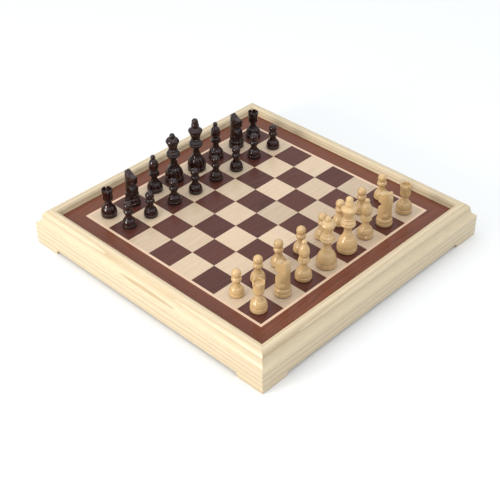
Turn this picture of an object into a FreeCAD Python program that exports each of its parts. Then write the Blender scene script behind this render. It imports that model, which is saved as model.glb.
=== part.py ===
import FreeCAD, Part
import math
import os

import Sketcher

# A chess set on its board: a veneered playing panel in a mitred, moulded frame with bracket feet,
# and 32 turned chessmen with felt under them, two of each side's men with a carved head.
#
# Millimetres, +Z up. The origin is on the table under the middle of the board. White stands along
# -Y, and the a-file is at -X, so a man on a square is placed by its file and rank.

doc = FreeCAD.newDocument("chess_set")

# ---------------------------------------------------------------- driving dimensions

SIZES = [
    ("square", 36.0, "side of one playing square"),
    ("stringing_width", 3.4, "light strip round the playing field"),
    ("border_width", 21.5, "dark band between the stringing and the frame"),
    ("rail_width", 22.6, "frame, from the band to the outer face"),
    ("surface_height", 37.5, "playing surface above the table"),
    ("veneer", 1.0, "thickness of the squares, stringing and border"),
    ("core_thickness", 9.0, "board that the veneers are laid on"),
    ("lip", 4.1, "how far the frame's bead overlaps the panel"),
    ("bead_rise", 9.0, "crest of the bead above the playing surface"),
    ("cove_drop", 8.7, "top of the frame's upright face below the playing surface"),
    ("foot_length", 38.0, "bracket foot, from the corner of the frame"),
    ("foot_relief", 5.5, "height of the finger gap between two feet"),
    ("relief_radius", 2.5, "round at the upper corners of that gap"),
    ("cove_width", 6.1, "hollow outside the bead, seen from above"),
    ("quirk", 0.4, "small step between the bead and the hollow"),
    ("bead_lean", 0.2, "how far the bead's outer foot leans in over that step"),
    ("slope_width", 1.7, "steep inner slope from the panel up to the bead"),
    ("crest_inset", 7.4, "crest of the bead, from the frame's inner edge"),
    ("cleat_width", 8.0, "glued strip that carries the panel"),
    ("cleat_height", 10.0, "depth of that strip"),
    ("block_leg", 32.0, "leg of the three-cornered glue block behind each foot"),
    ("block_lift", 1.0, "bottom of the glue block above the table"),
    ("felt", 0.8, "thickness of the felt under a man"),
    ("felt_margin", 0.9, "bare wood round that felt"),
    ("pawn_base", 17.6, "diameter of a pawn's base"),
    ("rook_base", 19.8, "diameter of a rook's base"),
    ("knight_base", 20.2, "diameter of a knight's base"),
    ("bishop_base", 20.0, "diameter of a bishop's base"),
    ("queen_base", 24.0, "diameter of a queen's base"),
    ("king_base", 24.0, "diameter of a king's base"),
    ("white_pawn_height", 35.2, "pawn, light wood"),
    ("black_pawn_height", 34.6, "pawn, dark wood"),
    ("white_rook_height", 39.0, "rook, light wood"),
    ("black_rook_height", 38.0, "rook, dark wood"),
    ("white_knight_height", 47.0, "knight, light wood"),
    ("black_knight_height", 47.0, "knight, dark wood"),
    ("white_bishop_height", 53.6, "bishop, light wood"),
    ("black_bishop_height", 52.0, "bishop, dark wood"),
    ("white_queen_height", 68.5, "queen, light wood"),
    ("black_queen_height", 68.5, "queen, dark wood"),
    ("white_king_height", 75.0, "king, light wood"),
    ("black_king_height", 74.8, "king, dark wood"),
    ("rook_notch_width", 1.4, "notch in a rook's rim"),
    ("rook_notch_depth", 2.6, "depth of that notch"),
    ("knight_blank", 17.2, "thickness of the blank that a knight's head is carved from"),
]

sheet = doc.addObject("Spreadsheet::Sheet", "Sizes")
for row, (alias, size, note) in enumerate(SIZES, start=1):
    sheet.set(f"A{row}", note)
    sheet.set(f"B{row}", str(size))
    sheet.setAlias(f"B{row}", alias)
doc.recompute()

# Distances from the middle of the board, and heights, as formulas on the sheet's sizes.
FIELD = "(4 * Sizes.square)"
STRING = f"({FIELD} + Sizes.stringing_width)"
BAND = f"({STRING} + Sizes.border_width)"
PANEL = f"({BAND} + Sizes.lip)"
OUTER = f"({BAND} + Sizes.rail_width)"
SURFACE = "Sizes.surface_height"
CORE_TOP = f"({SURFACE} - Sizes.veneer)"
CORE_BOTTOM = f"({CORE_TOP} - Sizes.core_thickness)"
CLEAT_BOTTOM = f"({CORE_BOTTOM} - Sizes.cleat_height)"

SIDES = [("front", 0), ("right", 90), ("back", 180), ("left", 270)]
FILES = "abcdefgh"


def value(formula):
    """A formula's number, from the sheet's present sizes."""
    return float(sheet.evalExpression(formula.replace("Sizes.", "")))


# ---------------------------------------------------------------- sketches and features

def new_body(name):
    body = doc.addObject("PartDesign::Body", name)
    body.Label = name
    return body


def new_sketch(body, name, plane):
    """An empty sketch on one of the body's own origin planes."""
    sketch = body.newObject("Sketcher::SketchObject", name)
    origin_plane = [item for item in body.Origin.OriginFeatures if item.Role == plane][0]
    sketch.AttachmentSupport = [(origin_plane, "")]
    sketch.MapMode = "FlatFace"
    return sketch


def pin(sketch, kind, segment, end, formula, name):
    """Tie one coordinate of a corner to its formula."""
    size = value(formula)
    if abs(size) < 1e-9:
        axis = -2 if kind == "DistanceX" else -1
        sketch.addConstraint(Sketcher.Constraint("PointOnObject", segment, end, axis))
        return
    index = sketch.addConstraint(Sketcher.Constraint(kind, -1, 1, segment, end, size))
    sketch.renameConstraint(index, name)
    sketch.setExpression(f"Constraints.{name}", formula)


def draw_outline(sketch, corners, tag="p"):
    """Draw a closed outline of (x, y, bulge) corners, x and y being formulas.

    A corner's bulge is the rise over the half chord of the arc that arrives there from the corner
    before it, and 0 is a straight line. It is positive where the arc swells to the right of the
    way the outline runs, which is outwards on an outline drawn anticlockwise. An arc that arrives
    on the upright axis is a dome: its centre is on that axis, whatever its bulge.
    """
    points = [FreeCAD.Vector(value(x), value(y), 0) for x, y, bulge in corners]
    count = len(corners)
    segments = []
    for index in range(count):
        start, end = points[index - 1], points[index]
        bulge = corners[index][2]
        if bulge == 0:
            segments.append((sketch.addGeometry(Part.LineSegment(start, end)), 1, 2))
            continue
        chord = end - start
        if corners[index][0] == "0":
            bulge = math.tan(math.atan2(chord.y, -chord.x) / 2)
        outward = FreeCAD.Vector(chord.y, -chord.x, 0)
        middle = (start + end) * 0.5 + outward * (0.5 * bulge)
        if bulge > 0:
            segments.append((sketch.addGeometry(Part.Arc(start, middle, end)), 1, 2))
        else:
            segments.append((sketch.addGeometry(Part.Arc(end, middle, start)), 2, 1))
    for index in range(count):
        before, after = segments[index], segments[(index + 1) % count]
        sketch.addConstraint(Sketcher.Constraint("Coincident", before[0], before[2], after[0], after[1]))
    for index, (x, y, bulge) in enumerate(corners):
        segment, start_end, far_end = segments[index]
        pin(sketch, "DistanceX", segment, far_end, x, f"{tag}x{index}")
        pin(sketch, "DistanceY", segment, far_end, y, f"{tag}y{index}")
        if bulge != 0 and x == "0":
            sketch.addConstraint(Sketcher.Constraint("PointOnObject", segment, 3, -2))
        elif bulge != 0:
            last_x, last_y = corners[index - 1][:2]
            share = (1 + bulge * bulge) / (4 * abs(bulge))
            radius = f"hypot({x} - {last_x}; {y} - {last_y}) * {share:.6f}"
            item = sketch.addConstraint(Sketcher.Constraint("Radius", segment, value(radius)))
            sketch.renameConstraint(item, f"{tag}r{index}")
            sketch.setExpression(f"Constraints.{tag}r{index}", radius)
    return sketch


def pad(body, name, sketch, length, symmetric=False):
    feature = body.newObject("PartDesign::Pad", name)
    feature.Profile = sketch
    feature.SideType = "Symmetric" if symmetric else "One side"
    feature.setExpression("Length", length)
    return feature


def pocket_through(body, name, sketch):
    """Cut the sketch's shapes right through the body, both ways from its plane."""
    doc.recompute()
    before = body.Shape.Volume
    feature = body.newObject("PartDesign::Pocket", name)
    feature.Profile = sketch
    feature.Type = "ThroughAll"
    feature.SideType = "Symmetric"
    doc.recompute()
    if body.Shape.Volume >= before - 1e-3:
        raise RuntimeError(f"{body.Label}: {name} cuts nothing")
    return feature


def revolve(body, name, sketch):
    feature = body.newObject("PartDesign::Revolution", name)
    feature.Profile = sketch
    feature.ReferenceAxis = (sketch, ["V_Axis"])
    feature.Angle = 360
    return feature


def box(name, length, width, height, x, y, z):
    item = doc.addObject("Part::Box", name)
    item.Label = name
    item.setExpression("Length", length)
    item.setExpression("Width", width)
    item.setExpression("Height", height)
    item.setExpression("Placement.Base.x", x)
    item.setExpression("Placement.Base.y", y)
    item.setExpression("Placement.Base.z", z)
    return item


def group(name, members):
    item = doc.addObject("Part::Compound", name)
    item.Label = name
    item.Links = members
    return item


def turn(item, degrees):
    """Turn a piece about the board's upright axis."""
    item.Placement = FreeCAD.Placement(
        FreeCAD.Vector(0, 0, 0), FreeCAD.Rotation(FreeCAD.Vector(0, 0, 1), degrees))


nodes = []


# ---------------------------------------------------------------- the board

# Where the bead's inner slope ends and where its outer foot starts, as shares of its rise.
SLOPE_SHARE = 0.62
FOOT_SHARE = 0.4


def rail(side, degrees):
    """One frame rail: a moulding with a rabbet for the panel, mitred, its underside cut to feet."""
    body = new_body(f"rail_{side}")
    relief_top = "Sizes.foot_relief"
    step = f"({OUTER} - Sizes.cove_width)"
    cove_foot = f"({SURFACE} - Sizes.cove_drop)"
    section = [
        (f"-{OUTER}", "0", 0),
        (f"-{PANEL}", "0", 0),
        (f"-{PANEL}", SURFACE, 0),
        (f"-{BAND}", SURFACE, 0),
        (f"-{BAND} - Sizes.slope_width", f"{SURFACE} + {SLOPE_SHARE} * Sizes.bead_rise", 0),
        (f"-{BAND} - Sizes.crest_inset", f"{SURFACE} + Sizes.bead_rise", 0.36),
        (f"-{step} + Sizes.quirk + Sizes.bead_lean", f"{SURFACE} + {FOOT_SHARE} * Sizes.bead_rise", 0.3),
        (f"-{step} + Sizes.quirk", f"{SURFACE} + Sizes.quirk", 0),
        (f"-{step}", SURFACE, 0),
        (f"-{OUTER}", cove_foot, -0.3),
    ]
    draw_outline(new_sketch(body, f"{side}_section", "YZ_Plane"), section)
    pad(body, f"{side}_moulding", doc.getObject(f"{side}_section"), f"2 * {OUTER}", symmetric=True)

    far = "(10 * Sizes.square)"
    mitres = new_sketch(body, f"{side}_mitre_lines", "XY_Plane")
    for tag, sign in (("a", ""), ("b", "-")):
        turned = [
            (f"{sign}{FIELD}", f"-{FIELD}", 0),
            (f"{sign}{far}", f"-{far}", 0),
            (f"{sign}{far}", f"-{FIELD}", 0),
        ]
        draw_outline(mitres, turned if sign == "" else turned[::-1], tag)
    pocket_through(body, f"{side}_mitres", mitres)

    reach = f"({OUTER} - Sizes.foot_length)"
    corner = "Sizes.relief_radius"
    gap = [
        (f"-{reach}", "-1", 0),
        (reach, "-1", 0),
        (reach, f"{relief_top} - {corner}", 0),
        (f"{reach} - {corner}", relief_top, 0.41421),
        (f"-{reach} + {corner}", relief_top, 0),
        (f"-{reach}", f"{relief_top} - {corner}", 0.41421),
    ]
    draw_outline(new_sketch(body, f"{side}_gap", "XZ_Plane"), gap)
    pocket_through(body, f"{side}_finger_gap", doc.getObject(f"{side}_gap"))
    turn(body, degrees)
    return body


def mitred_strip(name, inner, outer, bottom, height, degrees):
    """A strip along one side of a square, its ends cut to meet its neighbours."""
    body = new_body(name)
    outline = [
        (f"-{outer}", f"-{outer}", 0),
        (outer, f"-{outer}", 0),
        (inner, f"-{inner}", 0),
        (f"-{inner}", f"-{inner}", 0),
    ]
    sketch = draw_outline(new_sketch(body, f"{name}_outline", "XY_Plane"), outline)
    pad(body, f"{name}_thickness", sketch, height)
    turn(body, degrees)
    body.setExpression("Placement.Base.z", bottom)
    return body


def corner_block(side, degrees):
    """A three-cornered glue block in the frame's corner, behind the foot."""
    name = f"corner_block_{side}"
    body = new_body(name)
    outline = [
        (f"-{PANEL}", f"-{PANEL}", 0),
        (f"-{PANEL} + Sizes.block_leg", f"-{PANEL}", 0),
        (f"-{PANEL}", f"-{PANEL} + Sizes.block_leg", 0),
    ]
    sketch = draw_outline(new_sketch(body, f"{name}_outline", "XY_Plane"), outline)
    pad(body, f"{name}_height", sketch, f"{CLEAT_BOTTOM} - Sizes.block_lift")
    turn(body, degrees)
    body.setExpression("Placement.Base.z", "Sizes.block_lift")
    return body


def cleat(side, degrees):
    """A glued strip under the panel's edge. The front and back ones run the full length."""
    name = f"cleat_{side}"
    end = PANEL if side in ("front", "back") else f"({PANEL} - Sizes.cleat_width)"
    body = new_body(name)
    outline = [
        (f"-{end}", f"-{PANEL}", 0),
        (end, f"-{PANEL}", 0),
        (end, f"-{PANEL} + Sizes.cleat_width", 0),
        (f"-{end}", f"-{PANEL} + Sizes.cleat_width", 0),
    ]
    sketch = draw_outline(new_sketch(body, f"{name}_outline", "XY_Plane"), outline)
    pad(body, f"{name}_depth", sketch, "Sizes.cleat_height")
    turn(body, degrees)
    body.setExpression("Placement.Base.z", CLEAT_BOTTOM)
    return body


def squares(name, shade):
    """The 32 veneer squares of one shade. The near left square, a1, is dark."""
    members = []
    for file in range(8):
        for rank in range(8):
            if (file + rank) % 2 != shade:
                continue
            members.append(box(
                f"{name}_{FILES[file]}{rank + 1}",
                "Sizes.square", "Sizes.square", "Sizes.veneer",
                f"{file - 4} * Sizes.square", f"{rank - 4} * Sizes.square", CORE_TOP))
    return group(name, members)


nodes.append(box("panel_core", f"2 * {PANEL}", f"2 * {PANEL}", "Sizes.core_thickness",
                 f"-{PANEL}", f"-{PANEL}", CORE_BOTTOM))
nodes.append(squares("dark_squares", 0))
nodes.append(squares("light_squares", 1))
for side, degrees in SIDES:
    nodes.append(mitred_strip(f"stringing_{side}", FIELD, STRING, CORE_TOP, "Sizes.veneer", degrees))
    nodes.append(mitred_strip(f"border_{side}", STRING, PANEL, CORE_TOP, "Sizes.veneer", degrees))
    nodes.append(rail(side, degrees))
    nodes.append(cleat(side, degrees))
    nodes.append(corner_block(side, degrees))


# ---------------------------------------------------------------- the chessmen

# Each outline is half of a turned man, in millimetres at the size it was drawn: (radius, height,
# bulge) from the middle of its underside, up its side to the tip. The sheet's base diameter and
# height stretch it. The first corner is on the felt, and the felt lies below it.
FELT = 0.8

OUTLINES = {
    "pawn": [
        (0, FELT, 0),
        (8.2, FELT, 0), (8.8, 1.4, 0.4), (8.8, 3.6, 0), (8.1, 4.3, 0), (8.6, 5.1, 0.2),
        (6.2, 11.2, 0.15), (5.5, 11.6, 0), (3.7, 17.2, -0.1), (3.8, 18.2, 0),
        (5.4, 19.8, 0.2), (5.4, 23.4, 0.3), (4.2, 25.2, 0.1), (4.3, 26.3, 0),
        (5.5, 30.0, 0.24), (0, 35.2, 0.4),
    ],
    "rook": [
        (0, FELT, 0),
        (9.3, FELT, 0), (9.9, 1.5, 0.4), (9.9, 5.4, 0), (9.1, 6.2, 0), (9.7, 7.2, 0.2),
        (7.3, 13.8, 0.14), (6.6, 14.2, 0), (3.6, 21.6, -0.08), (3.7, 22.4, 0),
        (5.9, 24.2, 0.25), (6.5, 26.8, 0.15), (6.3, 31.0, 0), (6.9, 35.0, -0.06),
        (6.95, 39.0, 0), (5.5, 39.0, 0), (5.2, 35.8, 0), (0, 35.4, 0),
    ],
    "knight": [
        (0, FELT, 0),
        (9.5, FELT, 0), (10.1, 1.5, 0.4), (10.1, 4.2, 0), (9.4, 5.0, 0), (9.8, 5.8, 0.3),
        (9.1, 9.4, 0.15), (8.2, 10.4, 0), (0, 10.4, 0),
    ],
    "bishop": [
        (0, FELT, 0),
        (9.4, FELT, 0), (10.0, 1.5, 0.4), (10.0, 4.8, 0), (9.2, 5.6, 0), (9.7, 6.5, 0.2),
        (7.1, 12.6, 0.15), (6.3, 13.0, 0), (3.6, 20.4, -0.1), (3.8, 22.4, 0),
        (6.5, 24.2, 0.2), (6.6, 26.2, 0.3), (5.6, 29.8, 0), (4.6, 30.6, 0), (4.8, 31.6, 0),
        (6.4, 38.6, 0.18), (1.9, 48.2, 0.2), (3.1, 50.7, 0.4), (0, 53.6, 0.4),
    ],
    "queen": [
        (0, FELT, 0),
        (11.3, FELT, 0), (12.0, 1.6, 0.4), (12.0, 5.8, 0), (11.2, 6.7, 0), (11.9, 7.7, 0.2),
        (8.3, 18.6, 0.12), (7.5, 19.2, 0), (4.3, 28.4, -0.1), (4.4, 31.0, 0),
        (6.3, 33.8, -0.1), (8.2, 36.2, 0.1), (8.2, 38.9, 0.5), (7.4, 39.6, 0), (7.8, 41.7, 0.6),
        (5.6, 43.8, 0), (5.9, 45.8, 0.6), (5.5, 46.4, 0), (6.4, 51.2, -0.1),
        (7.9, 55.2, -0.05), (8.4, 58.4, 0.3), (3.0, 63.0, 0.24),
        (3.5, 65.4, 0.3), (0, 68.5, 0.4),
    ],
    "king": [
        (0, FELT, 0),
        (11.3, FELT, 0), (12.0, 1.6, 0.4), (12.0, 5.8, 0), (11.2, 6.7, 0), (11.9, 7.7, 0.2),
        (8.3, 18.6, 0.12), (7.5, 19.2, 0), (4.3, 28.4, -0.1), (4.4, 31.0, 0),
        (6.3, 33.8, -0.1), (8.2, 36.2, 0.1), (8.2, 38.9, 0.5), (7.4, 39.6, 0), (7.8, 41.7, 0.6),
        (5.6, 43.8, 0), (5.9, 45.8, 0.6), (5.5, 46.4, 0), (6.9, 51.6, -0.06),
        (8.3, 55.6, 0), (8.9, 57.0, 0.2), (8.8, 59.4, 0.3), (4.2, 62.8, 0),
        (4.9, 66.8, 0.3), (4.1, 69.0, 0.1), (4.3, 70.9, 0.2), (0, 75.2, 0.4),
    ],
}

# The side of a knight's carved head, (forward, height, bulge), drawn to the same height as below.
KNIGHT_DRAWN_HEIGHT = 47.0
KNIGHT_HEAD_FOOT = 10.4
KNIGHT_HEAD = [
    (-7.6, KNIGHT_HEAD_FOOT, 0.06),
    (7.6, KNIGHT_HEAD_FOOT, 0),
    (8.0, 18.5, 0.1),
    (5.6, 25.5, 0.16),
    (2.6, 29.0, 0),
    (6.4, 30.4, -0.1),
    (8.6, 32.4, 0.3),
    (9.2, 40.6, 0.06),
    (7.6, 42.0, 0.3),
    (1.0, 42.6, -0.06),
    (-4.4, KNIGHT_DRAWN_HEIGHT, 0.05),
    (-7.4, 46.0, 0.3),
    (-8.8, 27.0, 0.06),
]

# Half of that head's thickness at three heights, where its flanks are cut away.
KNIGHT_FLANKS = [(8.0, KNIGHT_HEAD_FOOT), (5.0, 30.0), (4.1, 48.0)]

# The blank was turned before it was carved, so its foot is round and it widens upwards.
KNIGHT_BLANK_FOOT = 8.1
KNIGHT_BLANK_TOP = 13.5


def upright(height, drawn, alias):
    """A drawn height as a formula that stretches it to the man's real height."""
    return f"{height / drawn:.6f} * {alias}"


def turned_body(name, kind, height_alias, drawn_height):
    """The turned wood of a man, its outline bound to the sheet."""
    outline = OUTLINES[kind]
    widest = max(radius for radius, height, bulge in outline)
    corners = []
    for radius, height, bulge in outline:
        across = f"{radius / widest:.6f} * Sizes.{kind}_base / 2" if radius else "0"
        up = "Sizes.felt" if height == FELT else upright(height, drawn_height, height_alias)
        corners.append((across, up, bulge))
    body = new_body(f"{name}_wood")
    sketch = draw_outline(new_sketch(body, f"{name}_outline", "XZ_Plane"), corners)
    revolve(body, f"{name}_turning", sketch)
    return body


def cut_rim(body, name, height_alias):
    """Six notches round a rook's rim: three cuts right across the cup."""
    half = "(Sizes.rook_notch_width / 2)"
    notch = [
        (f"-{half}", f"{height_alias} - Sizes.rook_notch_depth", 0),
        (half, f"{height_alias} - Sizes.rook_notch_depth", 0),
        (half, f"{height_alias} + 1", 0),
        (f"-{half}", f"{height_alias} + 1", 0),
    ]
    sketch = draw_outline(new_sketch(body, f"{name}_notch", "XZ_Plane"), notch)
    cut = pocket_through(body, f"{name}_notches", sketch)
    before = body.Shape.Volume
    pattern = body.newObject("PartDesign::PolarPattern", f"{name}_rim")
    pattern.Originals = [cut]
    pattern.Axis = (sketch, ["V_Axis"])
    pattern.Angle = 360
    pattern.Occurrences = 6
    body.Tip = pattern
    doc.recompute()
    if body.Shape.Volume >= before - 1e-3:
        raise RuntimeError(f"{name}: the rim's pattern cuts nothing")


def felt_disc(name, kind):
    disc = doc.addObject("Part::Cylinder", f"{name}_felt")
    disc.setExpression("Radius", f"Sizes.{kind}_base / 2 - Sizes.felt_margin")
    disc.setExpression("Height", "Sizes.felt")
    return disc


def carved_head(name, height_alias):
    """A knight's head: its side view sawn from a turned blank, then both flanks cut to a taper."""
    body = new_body(f"{name}_carving")
    profile = []
    for forward, height, bulge in KNIGHT_HEAD:
        profile.append((f"{forward}", upright(height, KNIGHT_DRAWN_HEIGHT, height_alias), bulge))
    sketch = draw_outline(new_sketch(body, f"{name}_profile", "YZ_Plane"), profile)
    pad(body, f"{name}_blank", sketch, "Sizes.knight_blank", symmetric=True)

    flanks = new_sketch(body, f"{name}_flank_lines", "XZ_Plane")
    clear = "Sizes.knight_blank"
    for tag, sign in (("a", 1), ("b", -1)):
        edge = [(f"{sign * half}", upright(height, KNIGHT_DRAWN_HEIGHT, height_alias), 0)
                for half, height in KNIGHT_FLANKS]
        outside = [(f"{sign} * {clear}", edge[-1][1], 0), (f"{sign} * {clear}", edge[0][1], 0)]
        loop = edge + outside
        draw_outline(flanks, loop if sign < 0 else loop[::-1], tag)
    pocket_through(body, f"{name}_flanks", flanks)

    blank = doc.addObject("Part::Cone", f"{name}_turned_blank")
    blank.Radius1 = KNIGHT_BLANK_FOOT
    blank.Radius2 = KNIGHT_BLANK_TOP
    foot = upright(KNIGHT_HEAD_FOOT, KNIGHT_DRAWN_HEIGHT, height_alias)
    blank.setExpression("Placement.Base.z", foot)
    blank.setExpression("Height", f"{height_alias} - {foot} + 1")
    head = doc.addObject("Part::Common", f"{name}_head")
    head.Base = body
    head.Tool = blank
    head.Label = f"{name}_head"
    return head


# The men were set out by hand, and these stand a little off the middle of their squares: (x, y)
# in millimetres, to the nearest half.
OFF_CENTRE = {
    "white_rook_a": (-2, 0.5),
    "white_pawn_b": (-2.5, -0.5),
    "white_bishop_c": (0, 1.5),
    "white_pawn_c": (-1.5, 2.5),
    "white_queen": (-0.5, -2),
    "white_pawn_d": (-1, 1),
    "white_king": (1.5, -0.5),
    "white_bishop_f": (1, 1),
    "white_pawn_f": (-1.5, 2.5),
    "white_rook_h": (0.5, -1.5),
    "white_pawn_h": (4, 0.5),
    "black_rook_a": (0, 2),
    "black_pawn_a": (2, 3),
    "black_pawn_b": (-1.5, 0.5),
    "black_bishop_c": (2.5, 1.5),
    "black_pawn_c": (1, 0),
    "black_queen": (-0.5, 1),
    "black_pawn_d": (-1, -2.5),
    "black_king": (0.5, -1.5),
    "black_pawn_e": (1, -0.5),
    "black_bishop_f": (2.5, 1.5),
    "black_pawn_f": (-1, -3.5),
    "black_knight_g": (3.5, 0.5),
    "black_pawn_g": (0.5, 1),
    "black_rook_h": (0.5, 1),
    "black_pawn_h": (-1.5, -1.5),
}


def stand(item, label, file, rank, facing):
    """Put a piece on its square, where the man it belongs to stands."""
    across, along = OFF_CENTRE.get(label, (0, 0))
    item.Placement.Rotation = FreeCAD.Rotation(FreeCAD.Vector(0, 0, 1), facing)
    item.setExpression("Placement.Base.x", f"{file - 3.5} * Sizes.square + {across}")
    item.setExpression("Placement.Base.y", f"{rank - 3.5} * Sizes.square + {along}")
    item.setExpression("Placement.Base.z", SURFACE)


def chessman(colour, kind, label, file, rank, facing):
    """One man: turned wood on a felt disc, and for a knight a carved head on top."""
    height_alias = f"Sizes.{colour}_{kind}_height"
    drawn = KNIGHT_DRAWN_HEIGHT if kind == "knight" else OUTLINES[kind][-1][1]
    if kind == "rook":
        drawn = max(height for radius, height, bulge in OUTLINES[kind])
    wood = turned_body(label, kind, height_alias, drawn)
    if kind == "rook":
        doc.recompute()
        cut_rim(wood, label, height_alias)
    node_name = f"{label}_base" if kind == "knight" else label
    man = group(node_name, [wood, felt_disc(label, kind)])
    stand(man, label, file, rank, facing)
    nodes.append(man)
    if kind == "knight":
        head = carved_head(label, height_alias)
        stand(head, label, file, rank, facing)
        nodes.append(head)


BACK_RANK = ["rook", "knight", "bishop", "queen", "king", "bishop", "knight", "rook"]

for colour, back_rank, pawn_rank, facing in (("white", 0, 1, 0), ("black", 7, 6, 180)):
    for file, kind in enumerate(BACK_RANK):
        alone = kind in ("king", "queen")
        label = f"{colour}_{kind}" if alone else f"{colour}_{kind}_{FILES[file]}"
        chessman(colour, kind, label, file, back_rank, facing)
    for file in range(8):
        chessman(colour, "pawn", f"{colour}_pawn_{FILES[file]}", file, pawn_rank, facing)

# ---------------------------------------------------------------- check and write

doc.recompute()
for item in doc.Objects:
    if "Invalid" in item.State or "Error" in item.State:
        raise RuntimeError(f"{item.Label} is {item.State}")
for node in nodes:
    if node.Shape.isNull() or not node.Shape.isValid():
        raise RuntimeError(f"{node.Label} has no valid shape")

os.makedirs("parts", exist_ok=True)
for node in nodes:
    node.Shape.exportStep(f"parts/{node.Label}.step")
print(len(nodes), "nodes,", sum(len(node.Shape.Solids) for node in nodes), "solids")
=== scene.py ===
import math

import bmesh
import bpy
import numpy as np
from mathutils import Matrix, Vector

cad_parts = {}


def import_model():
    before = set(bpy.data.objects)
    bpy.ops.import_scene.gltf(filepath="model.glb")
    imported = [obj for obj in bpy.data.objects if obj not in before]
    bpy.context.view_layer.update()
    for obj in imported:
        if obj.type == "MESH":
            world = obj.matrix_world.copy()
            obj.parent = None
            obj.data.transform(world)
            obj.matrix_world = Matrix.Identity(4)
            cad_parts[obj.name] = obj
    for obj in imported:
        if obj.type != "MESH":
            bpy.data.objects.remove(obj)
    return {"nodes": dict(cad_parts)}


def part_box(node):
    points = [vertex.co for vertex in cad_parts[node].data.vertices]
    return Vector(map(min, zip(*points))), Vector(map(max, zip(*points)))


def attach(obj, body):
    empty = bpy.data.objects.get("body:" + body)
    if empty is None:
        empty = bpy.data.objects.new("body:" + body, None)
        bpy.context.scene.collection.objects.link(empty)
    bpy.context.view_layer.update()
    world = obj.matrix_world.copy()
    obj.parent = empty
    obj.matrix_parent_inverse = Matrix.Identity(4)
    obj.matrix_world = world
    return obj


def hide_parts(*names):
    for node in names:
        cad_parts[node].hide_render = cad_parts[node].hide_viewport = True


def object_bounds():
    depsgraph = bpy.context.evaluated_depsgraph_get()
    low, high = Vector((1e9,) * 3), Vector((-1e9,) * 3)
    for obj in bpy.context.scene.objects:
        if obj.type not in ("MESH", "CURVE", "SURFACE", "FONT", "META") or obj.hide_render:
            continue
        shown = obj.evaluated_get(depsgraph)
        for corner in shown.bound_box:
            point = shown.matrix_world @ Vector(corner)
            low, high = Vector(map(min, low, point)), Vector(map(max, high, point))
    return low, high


# A chess set on its board. The veneered panel stays as the CAD made it and gets its woods here;
# the frame's mouldings, the turned men and the carved knights are rebuilt as finer meshes.

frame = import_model()
cad_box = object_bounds()

MM = 0.001
FILES = "abcdefgh"
SIDES = ["front", "right", "back", "left"]

field_low, field_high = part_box("light_squares")
SQUARE = (field_high[0] - field_low[0]) / 8
SURFACE = field_high[2]


# ---------------------------------------------------------------- camera, light and floor

# The camera looks down on the near left corner, where the a-file meets White's back rank.
CAMERA_AZIMUTH = math.radians(-45.29)
CAMERA_ELEVATION = math.radians(37.64)
CAMERA_ROLL = math.radians(-0.77)
CAMERA_DISTANCE = 34.03 * SQUARE
CAMERA_AIM = Vector((-1.768 * SQUARE, -1.092 * SQUARE, SURFACE))
CAMERA_LENS = 75.6
CAMERA_SHIFT = (0.0136, -0.0006)


def camera():
    sin_a, cos_a = math.sin(CAMERA_AZIMUTH), math.cos(CAMERA_AZIMUTH)
    sin_e, cos_e = math.sin(CAMERA_ELEVATION), math.cos(CAMERA_ELEVATION)
    back = Vector((sin_a * cos_e, -cos_a * cos_e, sin_e))
    right = (-back).cross(Vector((0, 0, 1))).normalized()
    up = back.cross(right)
    turn = Matrix.Rotation(CAMERA_ROLL, 3, back)
    right, up = turn @ right, turn @ up
    data = bpy.data.cameras.new("camera")
    data.lens = CAMERA_LENS
    data.sensor_width = 36
    data.shift_x, data.shift_y = CAMERA_SHIFT
    item = bpy.data.objects.new("camera", data)
    item.matrix_world = Matrix.Translation(CAMERA_AIM + back * CAMERA_DISTANCE) @ Matrix(
        (right, up, back)).transposed().to_4x4()
    bpy.context.collection.objects.link(item)
    bpy.context.scene.camera = item


def softbox(name, azimuth, elevation, distance, size, power, colour):
    """A square area light aimed at the middle of the board."""
    a, e = math.radians(azimuth), math.radians(elevation)
    back = Vector((math.sin(a) * math.cos(e), -math.cos(a) * math.cos(e), math.sin(e)))
    data = bpy.data.lights.new(name, "AREA")
    data.shape = "RECTANGLE"
    data.size, data.size_y = size
    data.energy = power
    data.color = colour
    item = bpy.data.objects.new(name, data)
    item.location = Vector((0, 0, SURFACE)) + back * distance
    item.rotation_euler = back.to_track_quat("Z", "Y").to_euler()
    bpy.context.collection.objects.link(item)


# The dome's colour at two heights, 0 being the horizon and 1 straight up.
SKY_LOW = (0.05, (0.08, 0.085, 0.10, 1))
SKY_HIGH = (0.8, (0.95, 0.98, 1.0, 1))
SKY_STRENGTH = 1.45


def world():
    """A dome that is bright overhead and dim at the horizon."""
    sky = bpy.data.worlds.new("studio")
    bpy.context.scene.world = sky
    sky.use_nodes = True
    tree = sky.node_tree
    background = tree.nodes["Background"]
    spot = tree.nodes.new("ShaderNodeTexCoord")
    split = tree.nodes.new("ShaderNodeSeparateXYZ")
    ramp = tree.nodes.new("ShaderNodeValToRGB")
    for element, (position, tint) in zip(ramp.color_ramp.elements, (SKY_LOW, SKY_HIGH)):
        element.position = position
        element.color = tint
    tree.links.new(spot.outputs["Generated"], split.inputs[0])
    tree.links.new(split.outputs["Z"], ramp.inputs[0])
    tree.links.new(ramp.outputs[0], background.inputs["Color"])
    background.inputs["Strength"].default_value = SKY_STRENGTH


# The floor reaches this far each way, and lies a hair below the feet.
FLOOR_REACH = 3.0
FLOOR_DROP = 0.0002


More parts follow.
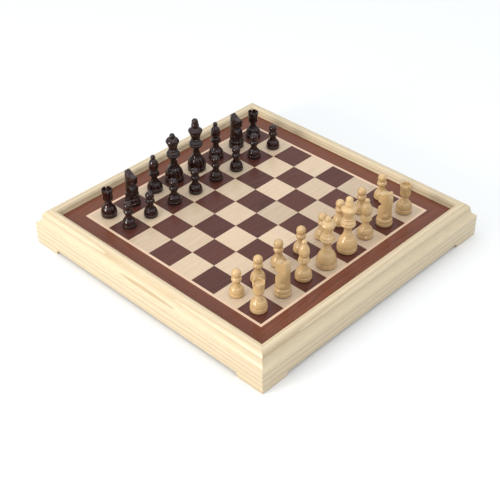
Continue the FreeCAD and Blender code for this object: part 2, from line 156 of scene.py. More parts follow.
def floor():
    """A plain pale floor."""
    mesh = bpy.data.meshes.new("floor")
    corners = [(-1, -1), (1, -1), (1, 1), (-1, 1)]
    places = [(x * FLOOR_REACH, y * FLOOR_REACH, -FLOOR_DROP) for x, y in corners]
    mesh.from_pydata(places, [], [(0, 1, 2, 3)])
    item = bpy.data.objects.new("floor", mesh)
    bpy.context.collection.objects.link(item)
    material = bpy.data.materials.new("floor")
    material.use_nodes = True
    shader = material.node_tree.nodes["Principled BSDF"]
    shader.inputs["Base Color"].default_value = (0.83, 0.83, 0.83, 1)
    shader.inputs["Roughness"].default_value = 0.7
    shader.inputs["Specular IOR Level"].default_value = 0.2
    mesh.materials.append(material)


bpy.context.scene.view_settings.view_transform = "Standard"
camera()
world()
floor()
softbox("key", -101, 17, 1.3, (0.5, 0.4), 9.5, (1.0, 0.96, 0.88))
softbox("fill", 30, 22, 1.5, (0.5, 0.4), 0.8, (0.86, 0.92, 1.0))
softbox("sparkle", -20, 48, 1.3, (0.08, 0.08), 1.1, (1.0, 1.0, 1.0))


# ---------------------------------------------------------------- woods

def colour(red, green, blue):
    """A screen colour, 0 to 255, as the linear colour that a shader takes."""
    shares = [v / 255 for v in (red, green, blue)]
    return tuple([(v / 12.92 if v < 0.04045 else ((v + 0.055) / 1.055) ** 2.4) for v in shares] + [1])


class Tree:
    """Adds nodes to a material. An input given as a socket is linked, anything else is set."""

    def __init__(self, name):
        self.material = bpy.data.materials.new(name)
        self.material.use_nodes = True
        self.tree = self.material.node_tree
        self.shader = self.tree.nodes["Principled BSDF"]

    def put(self, node, key, item):
        socket = node.inputs[key]
        if isinstance(item, bpy.types.NodeSocket):
            self.tree.links.new(item, socket)
        else:
            socket.default_value = item

    def add(self, kind, inputs=None, **settings):
        node = self.tree.nodes.new(kind)
        for key, item in settings.items():
            setattr(node, key, item)
        for key, item in (inputs or {}).items():
            self.put(node, key, item)
        return node

    def math(self, operation, first, second=0.0, third=0.0):
        inputs = {0: first, 1: second, 2: third}
        return self.add("ShaderNodeMath", inputs, operation=operation).outputs[0]

    def vector(self, operation, first, second=(0, 0, 0)):
        node = self.add("ShaderNodeVectorMath", {0: first, 1: second}, operation=operation)
        return node.outputs["Value" if operation == "LENGTH" else "Vector"]

    def noise(self, where, scale, detail=3.0, rough=0.5, warp=0.0):
        inputs = {"Vector": where, "Scale": scale, "Detail": detail, "Roughness": rough, "Distortion": warp}
        return self.add("ShaderNodeTexNoise", inputs).outputs["Fac"]

    def ramp(self, factor, stops):
        node = self.add("ShaderNodeValToRGB", {0: factor})
        elements = node.color_ramp.elements
        while len(elements) < len(stops):
            elements.new(0.5)
        for element, (position, tint) in zip(elements, stops):
            element.position = position
            element.color = tint
        return node.outputs[0]

    def mix(self, factor, first, second, blend="MIX"):
        node = self.add("ShaderNodeMix", data_type="RGBA", blend_type=blend)
        self.put(node, 0, factor)
        self.put(node, 6, first)
        self.put(node, 7, second)
        return node.outputs[2]

    def shades(self, factor, low, high):
        """A number between low and high, by factor."""
        inputs = {0: factor, 3: low, 4: high}
        return self.add("ShaderNodeMapRange", inputs).outputs[0]

    def grey(self, level):
        return self.add("ShaderNodeCombineColor", {0: level, 1: level, 2: level}).outputs[0]

    def finish(self, tint, roughness, height, depth, coat, coat_roughness, specular=0.5):
        bump = self.add("ShaderNodeBump", {"Height": height, "Strength": 1.0, "Distance": depth})
        self.put(self.shader, "Base Color", tint)
        self.put(self.shader, "Roughness", roughness)
        self.put(self.shader, "Normal", bump.outputs[0])
        self.shader.inputs["Specular IOR Level"].default_value = specular
        self.shader.inputs["Coat Weight"].default_value = coat
        self.shader.inputs["Coat Roughness"].default_value = coat_roughness
        return self.material


# How much longer than wide the grain's marks are, and how far below the board the pith of its
# long pieces lies.
GRAIN_STRETCH = 12
PITH_DEPTH = 0.09


def grain_space(tree, axis, per_square):
    """Coordinates with the grain along the given axis, drawn out along it.

    With per_square each square of the board, and the man on it, is cut from its own bit of wood.
    Returns (stretched place, ring distance in metres, a random colour of the piece of wood).
    """
    place = tree.add("ShaderNodeTexCoord").outputs["Object"]
    pick = tree.add("ShaderNodeCombineXYZ").outputs[0]
    if per_square:
        cell = tree.vector("FLOOR", tree.vector("DIVIDE", place, (SQUARE, SQUARE, 10)))
        middle = tree.vector("MULTIPLY", tree.vector("ADD", cell, (0.5, 0.5, 0)), (SQUARE, SQUARE, 0))
        pick = tree.add("ShaderNodeTexWhiteNoise", {"Vector": cell}, noise_dimensions="3D").outputs["Color"]
        local = tree.vector("SUBTRACT", place, middle)
        place = tree.vector("ADD", local, tree.vector("MULTIPLY", pick, (3.1, 2.7, 1.9)))
        offset = tree.vector("ADD", tree.vector("MULTIPLY", pick, (0.05, 0.05, 0.05)), (0.04, 0.04, 0.04))
        around = tree.vector("ADD", local, offset)
    else:
        around = tree.vector("SUBTRACT", place, (0.0, 0.0, -PITH_DEPTH))
    squeeze = [1.0, 1.0, 1.0]
    squeeze["xyz".index(axis)] = 1 / GRAIN_STRETCH
    stretched = tree.vector("MULTIPLY", place, tuple(squeeze))
    across = [1.0, 1.0, 1.0]
    across["xyz".index(axis)] = 0.0
    distance = tree.vector("LENGTH", tree.vector("MULTIPLY", around, tuple(across)))
    return stretched, distance, pick


def wood(name, axis, early, late, tone, ring_width, ring_share, pores, roughness, coat,
         per_square=False, waviness=1.0, depth=0.00004, specular=0.4):
    """A finished wood: growth rings, fibres, pores and a slow change of tone.

    early and late are the two sides of a growth ring, and tone is what patches drift towards.
    Noise scales are per metre across the grain. ring_width and depth, how deep the grain is felt,
    are in metres, and ring_share and pores run from 0 to 1.
    """
    tree = Tree(name)
    place, distance, pick = grain_space(tree, axis, per_square)
    drift = tree.noise(place, 26, 2, 0.5, 0.6)
    waves = tree.noise(place, 90, 3, 0.55, 0.3)
    fibres = tree.noise(place, 900, 4, 0.7)
    turns = tree.math("MULTIPLY_ADD", tree.math("SUBTRACT", drift, 0.5), 14 * waviness,
                      tree.math("DIVIDE", distance, ring_width))
    turns = tree.math("MULTIPLY_ADD", tree.math("SUBTRACT", waves, 0.5), 1.6 * waviness, turns)
    ring = tree.math("FRACT", turns)
    ring = tree.math("POWER", ring, 2.2)
    ring = tree.math("MULTIPLY", ring, ring_share)
    body = tree.mix(ring, early, late)
    patches = tree.shades(tree.noise(place, 34, 3, 0.6, 0.4), 0.0, 1.0)
    body = tree.mix(tree.math("SMOOTH_MIN", patches, 0.75, 0.2), body, tone)
    body = tree.mix(1.0, body, tree.grey(tree.shades(fibres, 0.80, 1.16)), "MULTIPLY")
    if per_square:
        lift = tree.add("ShaderNodeSeparateXYZ", {0: pick}).outputs[1]
        body = tree.mix(1.0, body, tree.grey(tree.shades(lift, 0.86, 1.12)), "MULTIPLY")
    pits = tree.ramp(tree.noise(place, 2600, 2, 0.5), [(0.60, (0, 0, 0, 1)), (0.68, (1, 1, 1, 1))])
    body = tree.mix(tree.math("MULTIPLY", pits, pores), body, (0.02, 0.01, 0.008, 1))
    gloss = tree.shades(waves, roughness - 0.05, roughness + 0.07)
    height = tree.math("SUBTRACT", tree.math("MULTIPLY", fibres, 0.6), tree.math("MULTIPLY", pits, pores))
    return tree.finish(body, gloss, height, depth, coat, 0.08, specular)


def felt():
    """Pressed wool: soft, fuzzy and uneven."""
    tree = Tree("felt")
    place = tree.add("ShaderNodeTexCoord").outputs["Object"]
    fuzz = tree.noise(place, 2200, 4, 0.7)
    tint = tree.ramp(fuzz, [(0.3, colour(28, 46, 34)), (0.7, colour(58, 84, 62))])
    tree.shader.inputs["Sheen Weight"].default_value = 0.4
    return tree.finish(tint, tree.shades(fuzz, 0.85, 1.0), fuzz, 0.0002, 0.0, 0.5)


def board_woods():
    """The woods of the board, by slot. Those that lie two ways have one material for each."""
    pine = dict(early=colour(219, 202, 171), late=colour(166, 136, 98), tone=colour(209, 190, 157),
                ring_width=0.0036, ring_share=0.9, pores=0.0, roughness=0.34, coat=0.25, waviness=0.1)
    band = dict(early=colour(127, 71, 48), late=colour(76, 38, 24), tone=colour(102, 53, 35),
                ring_width=0.003, ring_share=0.75, pores=0.45, roughness=0.36, coat=0.1, waviness=0.6,
                specular=0.25)
    line = dict(early=colour(224, 192, 164), late=colour(204, 168, 138), tone=colour(218, 186, 158),
                ring_width=0.003, ring_share=0.5, pores=0.0, roughness=0.36, coat=0.2, waviness=0.5)
    made = {}
    for axis in "xy":
        made["frame_pine", axis] = wood(f"pine_along_{axis}", axis, **pine)
        made["border_walnut", axis] = wood(f"border_walnut_along_{axis}", axis, **band)
        made["stringing", axis] = wood(f"stringing_along_{axis}", axis, **line)
        made["inner_pine", axis] = wood(
            f"bare_pine_along_{axis}", axis, colour(214, 182, 132), colour(172, 132, 84),
            colour(200, 166, 118), 0.004, 0.7, 0.1, 0.62, 0.0, waviness=0.4, depth=0.00008)
    made["walnut", "x"] = wood(
        "walnut_squares", "x", colour(100, 55, 44), colour(60, 29, 23), colour(78, 39, 32),
        0.0026, 0.8, 0.4, 0.38, 0.1, per_square=True, waviness=0.9, specular=0.25)
    made["maple", "x"] = wood(
        "maple_squares", "x", colour(206, 184, 158), colour(184, 156, 124), colour(198, 174, 146),
        0.0034, 0.55, 0.04, 0.34, 0.25, per_square=True, waviness=0.8)
    made["core_board", "x"] = wood(
        "core_board", "x", colour(168, 134, 96), colour(146, 112, 78), colour(156, 122, 88),
        0.02, 0.3, 0.2, 0.8, 0.0, waviness=1.5, depth=0.0001)
    return made


def men_woods():
    """The light and the dark wood of the men, its grain upright."""
    light = wood("boxwood", "z", colour(214, 182, 134), colour(168, 127, 78), colour(198, 162, 112),
                 0.0015, 0.42, 0.05, 0.24, 0.5, per_square=True, waviness=0.5, depth=0.00002)
    dark = wood("ebonised_wood", "z", colour(58, 18, 11), colour(14, 7, 8), colour(24, 10, 10),
                0.0034, 0.85, 0.0, 0.1, 0.65, per_square=True, waviness=0.8, depth=0.00001, specular=0.15)
    return {"white": light, "black": dark}


WOODS = board_woods()
MEN_WOODS = men_woods()
FELT = felt()


# ---------------------------------------------------------------- mesh tools

def trace(outline, step=0.35, closed=False):
    """The points of an outline of (x, y, bulge) corners, its arcs divided to about step.

    A corner's bulge is the rise over the half chord of the arc that arrives there, positive where
    it swells to the right of the way the outline runs.
    """
    points = []
    for index, (x, y, bulge) in enumerate(outline):
        here = Vector((x, y))
        if index == 0 and not closed:
            points.append(here)
            continue
        last = Vector(outline[index - 1][:2])
        chord = here - last
        if bulge == 0 or chord.length < 1e-9:
            points.append(here)
            continue
        sweep = 4 * math.atan(bulge)
        radius = chord.length / (2 * math.sin(sweep / 2))
        centre = (last + here) / 2 - Vector((chord.y, -chord.x)).normalized() * radius * math.cos(sweep / 2)
        start = last - centre
        count = max(2, math.ceil(abs(radius * sweep) / step), math.ceil(abs(sweep) / 0.14))
        for part in range(1, count + 1):
            angle = sweep * part / count
            points.append(centre + Matrix.Rotation(angle, 2) @ start)
    return points


# What counts as a corner; how far out the holding point lies, in reaches; and the most of a side
# that the holding point and the rounding may take.
SHARP_TURN = math.radians(24)
HOLD_REACH = 1.7
HOLD_SHARE = 0.45
ROUND_SHARE = 0.3


def ease(points, reach, closed=False):
    """Round the sharp corners of a line of points.

    One more point on each side of a rounding keeps the face beside it flat in the shading.
    """
    made = []
    count = len(points)
    for index, here in enumerate(points):
        if not closed and index in (0, count - 1):
            made.append(here)
            continue
        before = points[index - 1] - here
        after = points[(index + 1) % count] - here
        turn = math.pi - before.angle(after) if min(before.length, after.length) > 1e-6 else 0
        if turn < SHARP_TURN:
            made.append(here)
            continue
        rounded = []
        for way in (before, after):
            ahead = way.normalized()
            hold = here + ahead * min(HOLD_REACH * reach, way.length * HOLD_SHARE)
            rounded.append((hold, here + ahead * min(reach, way.length * ROUND_SHARE)))
        (hold_in, near), (hold_out, far) = rounded
        made.extend([hold_in, near, (near + far) * 0.25 + here * 0.5, far, hold_out])
    return made


def new_object(name, vertices, faces, materials, sharp=35):
    """A smooth-shaded mesh with its sharp edges marked and its normals outward."""
    mesh = bpy.data.meshes.new(name)
    mesh.from_pydata([tuple(v) for v in vertices], [], faces)
    shape = bmesh.new()
    shape.from_mesh(mesh)
    bmesh.ops.remove_doubles(shape, verts=shape.verts, dist=1e-7)
    bmesh.ops.dissolve_degenerate(shape, edges=shape.edges, dist=1e-7)
    bmesh.ops.recalc_face_normals(shape, faces=shape.faces)
    limit = math.radians(sharp)
    for face in shape.faces:
        face.smooth = True
    for edge in shape.edges:
        edge.smooth = len(edge.link_faces) == 2 and edge.calc_face_angle(0) < limit
    shape.to_mesh(mesh)
    shape.free()
    for material in materials:
        mesh.materials.append(material)
    item = bpy.data.objects.new(name, mesh)
    bpy.context.collection.objects.link(item)
    return item


def lathe(points, segments=80, angles=None, adjust=None):
    """Turn a line of (radius, height) points about the upright axis, in the points' own units."""
    angles = angles or [2 * math.pi * k / segments for k in range(segments)]
    vertices, faces, rings = [], [], []
    for radius, height in points:
        if radius < 1e-6:
            rings.append([len(vertices)])
            vertices.append((0, 0, height))
            continue
        ring = []
        for angle in angles:
            up = adjust(angle, radius, height) if adjust else height
            ring.append(len(vertices))
            vertices.append((radius * math.cos(angle), radius * math.sin(angle), up))
        rings.append(ring)
    count = len(angles)
    for low, high in zip(rings, rings[1:]):
        for k in range(count):
            j = (k + 1) % count
            if len(low) == 1:
                faces.append((low[0], high[k], high[j]))
            elif len(high) == 1:
                faces.append((low[k], low[j], high[0]))
            else:
                faces.append((low[k], low[j], high[j], high[k]))
    return vertices, faces


def surface_net(field, low, step):
    """The zero surface of a sampled field, negative inside, as a mesh of quads."""
    sizes = np.array(field.shape)
    total = np.zeros(tuple(sizes - 1) + (3,))
    count = np.zeros(tuple(sizes - 1))
    corners = [np.array((i, j, k)) for i in (0, 1) for j in (0, 1) for k in (0, 1)]

    def shifted(corner):
        i, j, k = corner
        return field[i:sizes[0] - 1 + i, j:sizes[1] - 1 + j, k:sizes[2] - 1 + k]

    for a in corners:
        for b in corners:
            if tuple(a) >= tuple(b) or np.abs(a - b).sum() != 1:
                continue
            first, second = shifted(a), shifted(b)
            crossed = (first < 0) != (second < 0)
            share = np.where(crossed, first / np.where(crossed, first - second, 1), 0)
            for axis in range(3):
                total[..., axis] += np.where(crossed, a[axis] + share * (b - a)[axis], 0)
            count += crossed
    used = count > 0
    number = np.full(used.shape, -1)
    number[used] = np.arange(used.sum())
    cells = np.argwhere(used)
    vertices = (cells + total[used] / count[used][:, None]) * step + low
    faces = []
    for axis in range(3):
        ahead = np.eye(3, dtype=int)[axis]
        left, right = np.eye(3, dtype=int)[(axis + 1) % 3], np.eye(3, dtype=int)[(axis + 2) % 3]
        ends = tuple(slice(0, sizes[n] - ahead[n]) for n in range(3))
        far = tuple(slice(ahead[n], sizes[n]) for n in range(3))
        crossing = np.argwhere((field[ends] < 0) != (field[far] < 0))
        inner = (crossing * (left + right) >= (left + right)).all(axis=1)
        for cell in crossing[inner]:
            quad = [number[tuple(cell - left - right)], number[tuple(cell - right)],
                    number[tuple(cell)], number[tuple(cell - left)]]
            if field[tuple(cell)] >= 0:
                quad.reverse()
            faces.append(tuple(int(v) for v in quad))
    return vertices, faces


# ---------------------------------------------------------------- the frame

# Sizes of the moulding in millimetres; the board's own extents come from the frame.
RAIL_WIDTH = 22.6
RAIL_EASE = 0.45
MITRE_GAP = 0.06
BEAD_RISE = 9.0
COVE_DROP = 8.7
COVE_WIDTH = 6.1
QUIRK = 0.4
BEAD_LEAN = 0.2
SLOPE_WIDTH = 1.7
CREST_INSET = 7.4
FOOT_LENGTH = 38.0
RELIEF = 5.5
RELIEF_ROUND = 2.5

# Where the bead's outer foot starts and its inner slope ends, as shares of its rise.
FOOT_SHARE = 0.4
SLOPE_SHARE = 0.62


def rail_section(outer, panel, surface):
    """The moulding, as (distance from the board's middle, height), anticlockwise from the inside."""
    band = outer - RAIL_WIDTH
    step = outer - COVE_WIDTH
    outline = [
        (panel, 0, 0),
        (outer, 0, 0),
        (outer, surface - COVE_DROP, 0),
        (step, surface, -0.3),
        (step - QUIRK, surface + QUIRK, 0),
        (step - QUIRK - BEAD_LEAN, surface + FOOT_SHARE * BEAD_RISE, 0),
        (band + CREST_INSET, surface + BEAD_RISE, 0.3),
        (band + SLOPE_WIDTH, surface + SLOPE_SHARE * BEAD_RISE, 0.36),
        (band, surface, 0),
        (panel, surface, 0),
    ]
    return ease(trace(outline, step=0.5, closed=True), RAIL_EASE, closed=True)


# How finely a rail is divided: along each rounded corner of its finger gap, and between them.
RELIEF_STEPS = 6
GAP_STEPS = 12


def rail_stations(reach):
    """Places along a rail as (kind, x, lift): the two mitres, and between them the finger gap.

    lift raises the underside there, and a mitre's x is the side that it lies to.
    """
    stations = [("mitre", -1, 0.0), ("at", -reach, 0.0)]
    for part in range(RELIEF_STEPS + 1):
        angle = math.pi / 2 * part / RELIEF_STEPS
        x = -reach + RELIEF_ROUND * (1 - math.cos(angle)) + 0.01
        stations.append(("at", x, RELIEF - RELIEF_ROUND * (1 - math.sin(angle))))
    near_end = list(stations)
    inner = reach - RELIEF_ROUND
    for part in range(1, GAP_STEPS):
        stations.append(("at", -inner + 2 * inner * part / GAP_STEPS, RELIEF))
    for kind, x, lift in reversed(near_end):
        stations.append((kind, -x, lift))
    return stations


def rail(side, quarter_turns):
    outer = cad_box[1][0] / MM
    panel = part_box("panel_core")[1][0] / MM
    section = rail_section(outer, panel, SURFACE / MM)
    stations = rail_stations(outer - FOOT_LENGTH)
    vertices, faces = [], []
    for kind, x, lift in stations:
        for distance, height in section:
            along = x if kind == "at" else x * (distance - MITRE_GAP)
            vertices.append((along, -distance, height + (lift if height < 1 else 0)))
    count = len(section)
    for row in range(len(stations) - 1):
        for k in range(count):
            j = (k + 1) % count
            faces.append((row * count + k, row * count + j, (row + 1) * count + j, (row + 1) * count + k))
    faces.append(tuple(range(count)))
    last = (len(stations) - 1) * count
    faces.append(tuple(range(last + count - 1, last - 1, -1)))
    turn = Matrix.Rotation(math.radians(90 * quarter_turns), 3, "Z")
    turned = [turn @ Vector(v) * MM for v in vertices]
    axis = "x" if side in ("front", "back") else "y"
    item = new_object(f"moulding_{side}", turned, faces, [WOODS["frame_pine", axis]], sharp=50)
    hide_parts(f"rail_{side}")
    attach(item, "board")


for turns, side in enumerate(SIDES):
    rail(side, turns)


# ---------------------------------------------------------------- the panel and what holds it

def give(node, material):
    """A CAD node keeps its shape and takes a material in every slot."""
    item = frame["nodes"][node]
    if not item.material_slots:
        item.data.materials.append(material)
    for slot in item.material_slots:
        slot.material = material


give("light_squares", WOODS["maple", "x"])
give("dark_squares", WOODS["walnut", "x"])
give("panel_core", WOODS["core_board", "x"])
for side in SIDES:
    axis = "x" if side in ("front", "back") else "y"
    give(f"border_{side}", WOODS["border_walnut", axis])
    give(f"stringing_{side}", WOODS["stringing", axis])
    give(f"cleat_{side}", WOODS["inner_pine", axis])
    give(f"corner_block_{side}", WOODS["inner_pine", axis])


# ---------------------------------------------------------------- the turned men

# Half of each turned man, in millimetres: (radius, height, bulge), from the felt up to the tip.
OUTLINES = {
    "pawn": [
        (0, 0.8, 0), (8.2, 0.8, 0), (8.8, 1.4, 0.4), (8.8, 3.6, 0), (8.1, 4.3, 0), (8.6, 5.1, 0.2),
        (6.2, 11.2, 0.15), (5.5, 11.6, 0), (3.7, 17.2, -0.1), (3.8, 18.2, 0),
        (5.4, 19.8, 0.2), (5.4, 23.4, 0.3), (4.2, 25.2, 0.1), (4.3, 26.3, 0),
        (5.5, 30.0, 0.24), (0, 35.2, 0.4),
    ],
    "rook": [
        (0, 0.8, 0), (9.3, 0.8, 0), (9.9, 1.5, 0.4), (9.9, 5.4, 0), (9.1, 6.2, 0), (9.7, 7.2, 0.2),
        (7.3, 13.8, 0.14), (6.6, 14.2, 0), (3.6, 21.6, -0.08), (3.7, 22.4, 0),
        (5.9, 24.2, 0.25), (6.5, 26.8, 0.15), (6.3, 31.0, 0), (6.9, 35.0, -0.06),
        (6.95, 39.0, 0), (5.5, 39.0, 0), (5.2, 35.8, 0), (0, 35.4, 0),
    ],
    "knight": [
        (0, 0.8, 0), (9.5, 0.8, 0), (10.1, 1.5, 0.4), (10.1, 4.2, 0), (9.4, 5.0, 0), (9.8, 5.8, 0.3),
        (9.1, 9.4, 0.15), (8.2, 10.4, 0), (0, 10.4, 0),
    ],
    "bishop": [
        (0, 0.8, 0), (9.4, 0.8, 0), (10.0, 1.5, 0.4), (10.0, 4.8, 0), (9.2, 5.6, 0), (9.7, 6.5, 0.2),
        (7.1, 12.6, 0.15), (6.3, 13.0, 0), (3.6, 20.4, -0.1), (3.8, 22.4, 0),
        (6.5, 24.2, 0.2), (6.6, 26.2, 0.3), (5.6, 29.8, 0), (4.6, 30.6, 0), (4.8, 31.6, 0),
        (6.4, 38.6, 0.18), (1.9, 48.2, 0.2), (3.1, 50.7, 0.4), (0, 53.6, 0.4),
    ],
    "queen": [
        (0, 0.8, 0), (11.3, 0.8, 0), (12.0, 1.6, 0.4), (12.0, 5.8, 0), (11.2, 6.7, 0), (11.9, 7.7, 0.2),
        (8.3, 18.6, 0.12), (7.5, 19.2, 0), (4.3, 28.4, -0.1), (4.4, 31.0, 0),
        (6.3, 33.8, -0.1), (8.2, 36.2, 0.1), (8.2, 38.9, 0.5), (7.4, 39.6, 0), (7.8, 41.7, 0.6),
        (5.6, 43.8, 0), (5.9, 45.8, 0.6), (5.5, 46.4, 0), (6.4, 51.2, -0.1),
        (7.9, 55.2, -0.05), (8.4, 58.4, 0.3), (3.0, 63.0, 0.24),
        (3.5, 65.4, 0.3), (0, 68.5, 0.4),
    ],
    "king": [
        (0, 0.8, 0), (11.3, 0.8, 0), (12.0, 1.6, 0.4), (12.0, 5.8, 0), (11.2, 6.7, 0), (11.9, 7.7, 0.2),
        (8.3, 18.6, 0.12), (7.5, 19.2, 0), (4.3, 28.4, -0.1), (4.4, 31.0, 0),
        (6.3, 33.8, -0.1), (8.2, 36.2, 0.1), (8.2, 38.9, 0.5), (7.4, 39.6, 0), (7.8, 41.7, 0.6),
        (5.6, 43.8, 0), (5.9, 45.8, 0.6), (5.5, 46.4, 0), (6.9, 51.6, -0.06),
        (8.3, 55.6, 0), (8.9, 57.0, 0.2), (8.8, 59.4, 0.3), (4.2, 62.8, 0),
        (4.9, 66.8, 0.3), (4.1, 69.0, 0.1), (4.3, 70.9, 0.2), (0, 75.2, 0.4),
    ],
}
FELT_THICK = 0.8
FELT_MARGIN = 0.9
TURNED_EASE = 0.16
NOTCH_COUNT = 6
NOTCH_DEPTH = 2.6
NOTCH_WIDTH = 1.4
RIM_RADIUS = 6.25


def placed(vertices, node, facing=0):
    """Millimetre vertices of a man moved to where its CAD node stands."""
    low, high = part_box(node)
    middle = Vector(((low[0] + high[0]) / 2, (low[1] + high[1]) / 2, SURFACE))
    turn = Matrix.Rotation(math.radians(facing), 3, "Z")
    return [middle + turn @ Vector(v) * MM for v in vertices]


def fitted(kind, node):
    """The kind's outline, in millimetres, stretched to its CAD node's height and girth."""
    low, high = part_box(node)
    outline = OUTLINES[kind]
    tallest = max(point[1] for point in outline)
    widest = max(point[0] for point in outline)
    up = (high[2] - low[2]) / MM / tallest
    out = (high[0] - low[0]) / MM / 2 / widest
    return [(x * out, y * up, bulge) for x, y, bulge in outline]


def turned_man(label, node, kind, wood_made, facing):
    outline = fitted(kind, node)
    points = ease(trace(outline), TURNED_EASE)
    angles, adjust = None, None
    if kind == "rook":
        top = max(point[1] for point in outline)
        half = math.asin(NOTCH_WIDTH / 2 / RIM_RADIUS)
        angles = rim_angles(half)
        adjust = rim_cutter(top, half)
    vertices, faces = lathe(points, 80, angles, adjust)
    item = new_object(f"{label}_turned", placed(vertices, node, facing), faces, [wood_made], sharp=40)
    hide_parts(node)
    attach(item, label)


def rim_angles(half):
    """Angles round a rook, with a close pair at both sides of every notch."""
    hair = math.radians(0.25)
    angles = set()
    pitch = 2 * math.pi / NOTCH_COUNT
    for notch in range(NOTCH_COUNT):
        middle = notch * pitch
        for offset in (-half - hair, -half, 0, half, half + hair):
            angles.add((middle + offset) % (2 * math.pi))
        steps = 10
        for part in range(1, steps):
            angles.add(middle + half + hair + (pitch - 2 * half - 2 * hair) * part / steps)
    return sorted(angles)


def rim_cutter(top, half):
    pitch = 2 * math.pi / NOTCH_COUNT

    def adjust(angle, radius, height):
        off = abs((angle + pitch / 2) % pitch - pitch / 2)
        if off <= half + 1e-6:
            return min(height, top - NOTCH_DEPTH)
        return height

    return adjust


def felt_disc(label, node):
    """The felt under a man: a disc with a soft lower edge."""
    low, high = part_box(node)
    radius = (high[0] - low[0]) / MM / 2 - FELT_MARGIN
    outline = [
        (0, 0, 0),
        (radius - 0.2, 0, 0),
        (radius, 0.25, 0.4),
        (radius, FELT_THICK, 0),
        (0, FELT_THICK, 0),
    ]
    vertices, faces = lathe(trace(outline, step=0.15), 64)
    item = new_object(f"{label}_felt", placed(vertices, node), faces, [FELT], sharp=50)
    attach(item, label)


# ---------------------------------------------------------------- the carved knights' heads

# Side view of the head, (forward, height, bulge) in millimetres, above the turned base.
HEAD_FOOT = 10.4
HEAD_TOP = 47.0
HEAD_OUTLINE = [
    (-7.6, HEAD_FOOT - 0.6, 0.06),
    (7.6, HEAD_FOOT - 0.6, 0),
    (8.0, 18.5, 0.1),
    (5.6, 25.5, 0.16),
    (2.6, 29.0, 0),
    (6.4, 30.4, -0.1),
    (8.6, 32.4, 0.3),
    (9.2, 40.6, 0.06),
    (7.6, 42.0, 0.3),
    (1.0, 42.6, -0.06),
    (-4.4, HEAD_TOP, 0.05),
    (-7.4, 46.0, 0.3),
    (-8.8, 27.0, 0.06),
]
# Half the head's thickness between its flanks, and the radius of the turned bell: (height, size).
HEAD_HALF = [(12, 8.0), (30, 4.9), (46, 4.2)]
BELL = [(HEAD_FOOT, 8.1), (14, 8.6), (19, 8.6), (24, 8.4), (30, 8.9), (42, 9.4)]

# How much thinner the muzzle gets towards its tip.
MUZZLE_TAPER = 0.5

# Hollows in both flanks, round the eye and at the nostril, and the eye's swelling, whose depth is
# below zero: (forward, height, depth, spread).
DENTS = [
    (3.4, 39.6, 0.6, 3.0),
    (3.4, 39.6, -0.5, 0.8),
    (8.2, 38.2, 0.6, 0.5),
]

# Cuts in both flanks, as (start, end, depth, width): the mouth, the line behind the ear, and the
# locks of the mane, one below the other.
LOCK_COUNT = 6
LOCK_TOP = 40.5
LOCK_PITCH = 4.4
LOCK_FALL = 2.2
LOCK_LEVELS = [LOCK_TOP - LOCK_PITCH * lock for lock in range(LOCK_COUNT)]
CUTS = [
    ((10.0, 34.4), (5.6, 34.0), 0.8, 0.6),
    ((-2.6, 44.6), (-4.6, 35.0), 0.6, 0.8),
]
CUTS += [((-9.6, level - LOCK_FALL), (-6.4, level), 0.4, 0.6) for level in LOCK_LEVELS]

# The flat down the back of the neck: half its width there, how fast that grows forward, the share
# of a sideways distance that counts square to it, and the height below which it runs out into the
# turned bell.
MANE_BACK = -8.6
MANE_HALF = 3.0
MANE_SPREAD = 0.55
MANE_SQUARE = 0.88
MANE_FOOT = 18
MANE_RUNOUT = 7

# The notch between the ears, behind this place.
PARTING_FRONT = -3.5
PARTING_RADIUS = 1.1

# The fan of V-cuts on the chest, from the throat down: its ends, and where its cuts cross a line
# FLUTE_SPREAD below the throat. CRISP is how softly the head's faces meet.
THROAT = 30
FLUTE_SPREAD = 14
FLUTE_FOOT = 14.5
FLUTES = {"white": (-3.0, 3.0), "black": (-7.4, -4.6, -1.6, 1.6, 4.6, 7.4)}
FLUTE_DEPTH = {"white": 0.35, "black": 0.95}
CRISP = {"white": 0.8, "black": 1.6}

# The head's field is sampled this finely, over this far forward and to the sides.
FIELD_STEP = 0.32
FIELD_FORWARD = (-11, 13)
FIELD_SIDE = 9


def polygon_distance(points, x, y):
    """Signed distance from each place to a closed outline, negative inside."""
    nearest = np.full(x.shape, 1e9)
    inside = np.zeros(x.shape, bool)
    for index, end in enumerate(points):
        start = points[index - 1]
        ex, ey = end.x - start.x, end.y - start.y
        wx, wy = x - start.x, y - start.y
        share = np.clip((wx * ex + wy * ey) / (ex * ex + ey * ey + 1e-12), 0, 1)
        nearest = np.minimum(nearest, np.hypot(wx - share * ex, wy - share * ey))
        between = (start.y > y) != (end.y > y)
        crossing = start.x + (y - start.y) * ex / (ey if abs(ey) > 1e-12 else 1e-12)
        inside ^= between & (x < crossing)
    return np.where(inside, -nearest, nearest)


def soft_max(first, second, reach):
    blend = np.clip(0.5 + 0.5 * (first - second) / reach, 0, 1)
    return second + (first - second) * blend + reach * blend * (1 - blend)


def groove(x, y, start, end, width):
    """1 along a line between two places, falling to 0 at width from it."""
    ex, ey = end[0] - start[0], end[1] - start[1]
    wx, wy = x - start[0], y - start[1]
    share = np.clip((wx * ex + wy * ey) / (ex * ex + ey * ey), 0, 1)
    away = np.hypot(wx - share * ex, wy - share * ey)
    return np.clip(1 - away / width, 0, 1)


def levels(table, z):
    return np.interp(z, [row[0] for row in table], [row[1] for row in table])


def half_thickness(f, z):
    """Half the head's thickness at a place on its side view, with what is carved in its flanks."""
    half = levels(HEAD_HALF, z)
    half -= MUZZLE_TAPER * np.clip((f - 2) / 6, 0, 1) * np.clip((z - THROAT) / 3, 0, 1)
    for forward, height, depth, spread in DENTS:
        half -= depth * np.exp(-((f - forward) ** 2 + (z - height) ** 2) / spread)
    for start, end, depth, width in CUTS:
        half -= depth * groove(f, z, start, end, width)
    return half


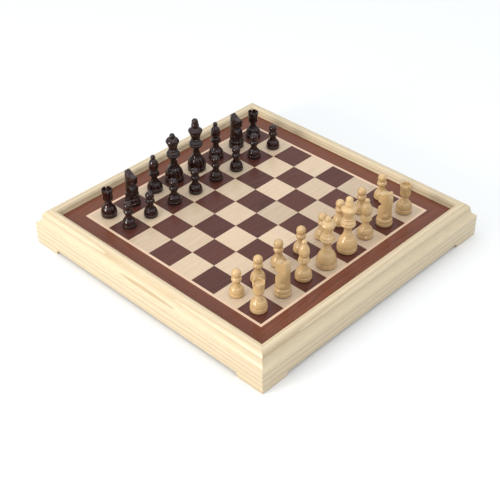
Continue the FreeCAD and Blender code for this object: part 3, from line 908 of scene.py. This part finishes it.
def chest_cuts(shade, f, z, across):
    """How deep the V-cuts on the chest go at a place."""
    depth = np.zeros(f.shape)
    spread = (THROAT - z) / FLUTE_SPREAD
    wide = 0.45 + 0.06 * (THROAT - z)
    for at_foot in FLUTES[shade]:
        depth = np.maximum(depth, np.clip(1 - np.abs(across - at_foot * spread) / wide, 0, 1))
    below_throat = np.clip((THROAT - 0.5 - z) / 2, 0, 1)
    chest = np.clip(f - 1, 0, 1) * np.clip((z - FLUTE_FOOT) / 2, 0, 1) * below_throat
    return FLUTE_DEPTH[shade] * depth * chest


def head_field(shade):
    """The carved head as a sampled field, with its low corner and step."""
    forward = np.arange(*FIELD_FORWARD, FIELD_STEP)
    side = np.arange(-FIELD_SIDE, FIELD_SIDE + FIELD_STEP, FIELD_STEP)
    height = np.arange(HEAD_FOOT - 1.2, HEAD_TOP + 2, FIELD_STEP)
    f, z = np.meshgrid(forward, height, indexing="ij")
    crisp = CRISP[shade]
    flat = polygon_distance(trace(HEAD_OUTLINE, 0.6, closed=True), f, z)
    half = half_thickness(f, z)
    run_out = np.clip((MANE_FOOT - z) / MANE_RUNOUT, 0, 1)
    mane = MANE_HALF + MANE_SPREAD * (f - MANE_BACK) + 2 * MANE_HALF * run_out
    field = np.empty((len(forward), len(side), len(height)))
    for index, across in enumerate(side):
        shape = soft_max(flat, np.abs(across) - half, crisp)
        shape = soft_max(shape, (np.abs(across) - mane) * MANE_SQUARE, crisp)
        shape = soft_max(shape, np.hypot(f, across) - levels(BELL, z), 0.6)
        shape += chest_cuts(shade, f, z, across)
        parting = np.hypot((z - HEAD_TOP - 0.8) * 0.6, across) - PARTING_RADIUS
        shape = np.where(f < PARTING_FRONT, np.maximum(shape, -parting), shape)
        field[:, index, :] = np.maximum(shape, HEAD_FOOT - z)
    return field, np.array((forward[0], side[0], height[0])), FIELD_STEP


def head_mesh(shade):
    """The head as (across, forward, up) millimetre vertices and faces."""
    field, low, step = head_field(shade)
    vertices, faces = surface_net(field, low, step)
    return [(v[1], v[0], v[2]) for v in vertices], faces


def knight_head(label, wood_made, mesh, facing):
    """A head set on its base, stretched to the CAD head's height."""
    vertices, faces = mesh
    node = f"{label}_head"
    low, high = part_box(node)
    foot = (low[2] - SURFACE) / MM
    up = (high[2] - low[2]) / MM / (HEAD_TOP - HEAD_FOOT)
    stretched = [(x, y, foot + (z - HEAD_FOOT) * up) for x, y, z in vertices]
    vertices = placed(stretched, f"{label}_base", facing)
    item = new_object(f"{label}_carving", vertices, faces, [wood_made], sharp=60)
    smooth = item.modifiers.new("ease", "SMOOTH")
    smooth.factor = 0.5
    smooth.iterations = 1
    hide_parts(node)
    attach(item, label)


# ---------------------------------------------------------------- set up the men

BACK_RANK = ["rook", "knight", "bishop", "queen", "king", "bishop", "knight", "rook"]

for shade, facing in (("white", 0), ("black", 180)):
    wood_made = MEN_WOODS[shade]
    carved = head_mesh(shade)
    men = []
    for file, kind in zip(FILES, BACK_RANK):
        men.append((f"{shade}_{kind}" if kind in ("king", "queen") else f"{shade}_{kind}_{file}", kind))
    for file in FILES:
        men.append((f"{shade}_pawn_{file}", "pawn"))
    for label, kind in men:
        node = f"{label}_base" if kind == "knight" else label
        turned_man(label, node, kind, wood_made, facing)
        felt_disc(label, node)
        if kind == "knight":
            knight_head(label, wood_made, carved, facing)
